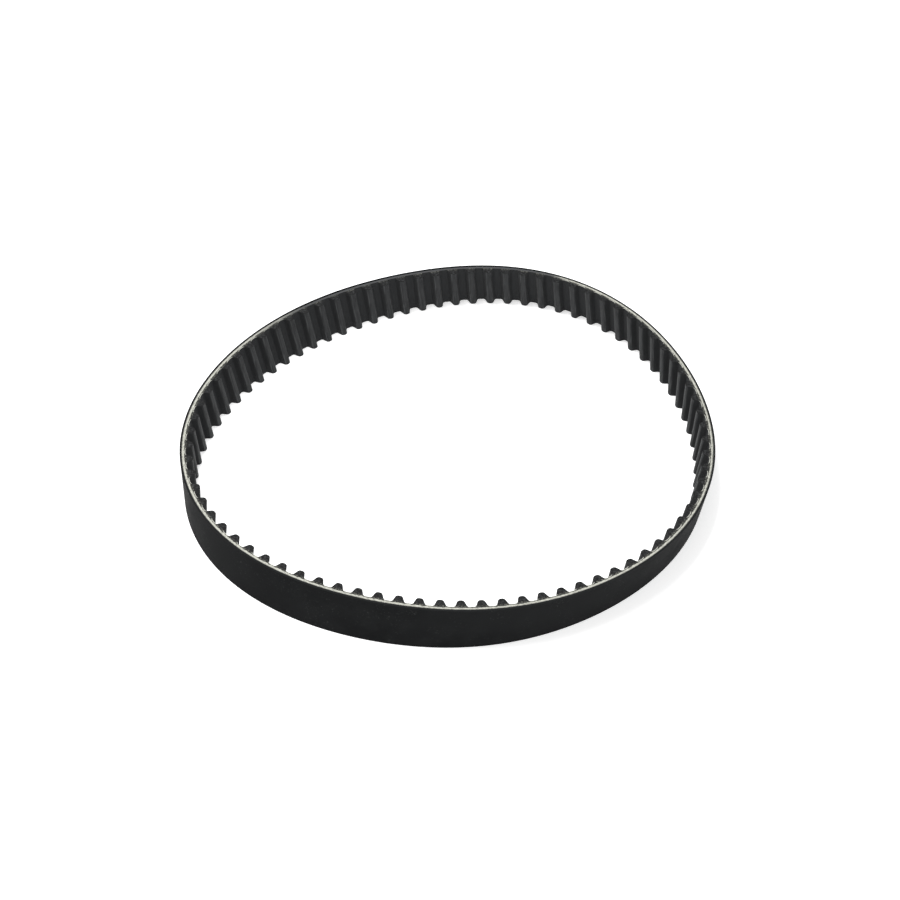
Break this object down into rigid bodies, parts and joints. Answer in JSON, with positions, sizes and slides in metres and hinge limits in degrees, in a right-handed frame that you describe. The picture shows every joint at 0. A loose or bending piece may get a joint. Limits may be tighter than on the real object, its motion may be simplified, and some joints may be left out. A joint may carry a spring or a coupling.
{
  "type": "timing belt",
  "caption": "Endless toothed drive belt with a smooth rubber back, a band of tension cords and rounded trapezoid teeth on the inside, free to flex between round and oval.",
  "frame": {"origin": "centre of the loop's bounding box, on the plane of the belt's lower edge", "axes": "+Z across the belt's width, from the lower edge to the upper edge; +X along the longer side of the loop's box"},
  "size_m": [0.2158, 0.2018, 0.02],
  "materials": {
    "backing_rubber": "matte ground black rubber back, faintly dusty",
    "tension_cord": "pale cut ends of helically wound cords",
    "toothed_rubber": "dark grey woven facing over moulded teeth"
  },
  "bodies": {
    "link_01": {"backing_01": "backing_rubber", "cord_band_01": "tension_cord", "toothed_rubber_01": "toothed_rubber"},
    "link_02": {"backing_02": "backing_rubber", "cord_band_02": "tension_cord", "toothed_rubber_02": "toothed_rubber"},
    "link_03": {"backing_03": "backing_rubber", "cord_band_03": "tension_cord", "toothed_rubber_03": "toothed_rubber"},
    "link_04": {"backing_04": "backing_rubber", "cord_band_04": "tension_cord", "toothed_rubber_04": "toothed_rubber"},
    "link_05": {"backing_05": "backing_rubber", "cord_band_05": "tension_cord", "toothed_rubber_05": "toothed_rubber"},
    "link_06": {"backing_06": "backing_rubber", "cord_band_06": "tension_cord", "toothed_rubber_06": "toothed_rubber"},
    "link_07": {"backing_07": "backing_rubber", "cord_band_07": "tension_cord", "toothed_rubber_07": "toothed_rubber"},
    "link_08": {"backing_08": "backing_rubber", "cord_band_08": "tension_cord", "toothed_rubber_08": "toothed_rubber"},
    "link_09": {"backing_09": "backing_rubber", "cord_band_09": "tension_cord", "toothed_rubber_09": "toothed_rubber"},
    "link_10": {"backing_10": "backing_rubber", "cord_band_10": "tension_cord", "toothed_rubber_10": "toothed_rubber"},
    "link_11": {"backing_11": "backing_rubber", "cord_band_11": "tension_cord", "toothed_rubber_11": "toothed_rubber"},
    "link_12": {"backing_12": "backing_rubber", "cord_band_12": "tension_cord", "toothed_rubber_12": "toothed_rubber"},
    "link_13": {"backing_13": "backing_rubber", "cord_band_13": "tension_cord", "toothed_rubber_13": "toothed_rubber"},
    "link_14": {"backing_14": "backing_rubber", "cord_band_14": "tension_cord", "toothed_rubber_14": "toothed_rubber"},
    "link_15": {"backing_15": "backing_rubber", "cord_band_15": "tension_cord", "toothed_rubber_15": "toothed_rubber"},
    "link_16": {"backing_16": "backing_rubber", "cord_band_16": "tension_cord", "toothed_rubber_16": "toothed_rubber"},
    "link_17": {"backing_17": "backing_rubber", "cord_band_17": "tension_cord", "toothed_rubber_17": "toothed_rubber"},
    "link_18": {"backing_18": "backing_rubber", "cord_band_18": "tension_cord", "toothed_rubber_18": "toothed_rubber"},
    "link_19": {"backing_19": "backing_rubber", "cord_band_19": "tension_cord", "toothed_rubber_19": "toothed_rubber"},
    "link_20": {"backing_20": "backing_rubber", "cord_band_20": "tension_cord", "toothed_rubber_20": "toothed_rubber"}
  },
  "joints": [
    {"name": "flex", "type": "hinge", "parent": "link_02", "child": "link_03", "pos_m": [0.08893, 0.0596, 0.01], "axis": [0, 0, 1], "range_deg": [-12, 12], "stiffness_Nm_per_rad": 0.02},
    {"name": "fold_04", "type": "hinge", "parent": "link_03", "child": "link_04", "pos_m": [0.06747, 0.08311, 0.01], "axis": [0, 0, 1], "range_deg": [-9.52, 9.52], "stiffness_Nm_per_rad": 0.02},
    {"name": "fold_05", "type": "hinge", "parent": "link_04", "child": "link_05", "pos_m": [0.03865, 0.09645, 0.01], "axis": [0, 0, 1], "range_deg": [-3.12, 3.12], "stiffness_Nm_per_rad": 0.02},
    {"name": "fold_06", "type": "hinge", "parent": "link_05", "child": "link_06", "pos_m": [0.00686, 0.09708, 0.01], "axis": [0, 0, 1], "range_deg": [-4.09, 4.09], "stiffness_Nm_per_rad": 0.02},
    {"name": "fold_07", "type": "hinge", "parent": "link_06", "child": "link_07", "pos_m": [-0.02358, 0.08752, 0.01], "axis": [0, 0, 1], "range_deg": [-8.77, 8.77], "stiffness_Nm_per_rad": 0.02},
    {"name": "fold_08", "type": "hinge", "parent": "link_07", "child": "link_08", "pos_m": [-0.05128, 0.07158, 0.01], "axis": [0, 0, 1], "range_deg": [-10.73, 10.73], "stiffness_Nm_per_rad": 0.02},
    {"name": "fold_09", "type": "hinge", "parent": "link_08", "child": "link_09", "pos_m": [-0.07519, 0.05041, 0.01], "axis": [0, 0, 1], "range_deg": [-9.61, 9.61], "stiffness_Nm_per_rad": 0.02},
    {"name": "fold_10", "type": "hinge", "parent": "link_09", "child": "link_10", "pos_m": [-0.09364, 0.02436, 0.01], "axis": [0, 0, 1], "range_deg": [-4.04, 4.04], "stiffness_Nm_per_rad": 0.02},
    {"name": "fold_02", "type": "hinge", "parent": "link_02", "child": "link_01", "pos_m": [0.10201, 0.03052, 0.01], "axis": [0, 0, -1], "range_deg": [-9.84, 9.84], "stiffness_Nm_per_rad": 0.02},
    {"name": "fold_01", "type": "hinge", "parent": "link_01", "child": "link_20", "pos_m": [0.10622, -0.00108, 0.01], "axis": [0, 0, -1], "range_deg": [-3.76, 3.76], "stiffness_Nm_per_rad": 0.02},
    {"name": "fold_20", "type": "hinge", "parent": "link_20", "child": "link_19", "pos_m": [0.09965, -0.03222, 0.01], "axis": [0, 0, -1], "range_deg": [-3.15, 3.15], "stiffness_Nm_per_rad": 0.02},
    {"name": "fold_19", "type": "hinge", "parent": "link_19", "child": "link_18", "pos_m": [0.08254, -0.05907, 0.01], "axis": [0, 0, -1], "range_deg": [-9.14, 9.14], "stiffness_Nm_per_rad": 0.02},
    {"name": "fold_18", "type": "hinge", "parent": "link_18", "child": "link_17", "pos_m": [0.05815, -0.07964, 0.01], "axis": [0, 0, -1], "range_deg": [-12.7, 12.7], "stiffness_Nm_per_rad": 0.02},
    {"name": "fold_17", "type": "hinge", "parent": "link_17", "child": "link_16", "pos_m": [0.02925, -0.09315, 0.01], "axis": [0, 0, -1], "range_deg": [-10.17, 10.17], "stiffness_Nm_per_rad": 0.02},
    {"name": "fold_16", "type": "hinge", "parent": "link_16", "child": "link_15", "pos_m": [-0.00223, -0.09833, 0.01], "axis": [0, 0, -1], "range_deg": [-3.12, 3.12], "stiffness_Nm_per_rad": 0.02},
    {"name": "fold_15", "type": "hinge", "parent": "link_15", "child": "link_14", "pos_m": [-0.03405, -0.09565, 0.01], "axis": [0, 0, -1], "range_deg": [-4.38, 4.38], "stiffness_Nm_per_rad": 0.02},
    {"name": "fold_14", "type": "hinge", "parent": "link_14", "child": "link_13", "pos_m": [-0.06423, -0.08534, 0.01], "axis": [0, 0, -1], "range_deg": [-10.38, 10.38], "stiffness_Nm_per_rad": 0.02},
    {"name": "fold_13", "type": "hinge", "parent": "link_13", "child": "link_12", "pos_m": [-0.08924, -0.0657, 0.01], "axis": [0, 0, -1], "range_deg": [-12.46, 12.46], "stiffness_Nm_per_rad": 0.02},
    {"name": "fold_12", "type": "hinge", "parent": "link_12", "child": "link_11", "pos_m": [-0.10359, -0.03742, 0.01], "axis": [0, 0, -1], "range_deg": [-10.02, 10.02], "stiffness_Nm_per_rad": 0.02}
  ],
  "couplings": [
    {"joint": "fold_04", "follows": "flex", "ratio": 0.7916},
    {"joint": "fold_05", "follows": "flex", "ratio": 0.2582},
    {"joint": "fold_06", "follows": "flex", "ratio": -0.3391},
    {"joint": "fold_07", "follows": "flex", "ratio": -0.7286},
    {"joint": "fold_08", "follows": "flex", "ratio": -0.8918},
    {"joint": "fold_09", "follows": "flex", "ratio": -0.7984},
    {"joint": "fold_10", "follows": "flex", "ratio": -0.3345},
    {"joint": "fold_02", "follows": "flex", "ratio": 0.8181},
    {"joint": "fold_01", "follows": "flex", "ratio": 0.3109},
    {"joint": "fold_20", "follows": "flex", "ratio": -0.2608},
    {"joint": "fold_19", "follows": "flex", "ratio": -0.7599},
    {"joint": "fold_18", "follows": "flex", "ratio": -1.0559},
    {"joint": "fold_17", "follows": "flex", "ratio": -0.8458},
    {"joint": "fold_16", "follows": "flex", "ratio": -0.2583},
    {"joint": "fold_15", "follows": "flex", "ratio": 0.3626},
    {"joint": "fold_14", "follows": "flex", "ratio": 0.863},
    {"joint": "fold_13", "follows": "flex", "ratio": 1.036},
    {"joint": "fold_12", "follows": "flex", "ratio": 0.8327}
  ]
}
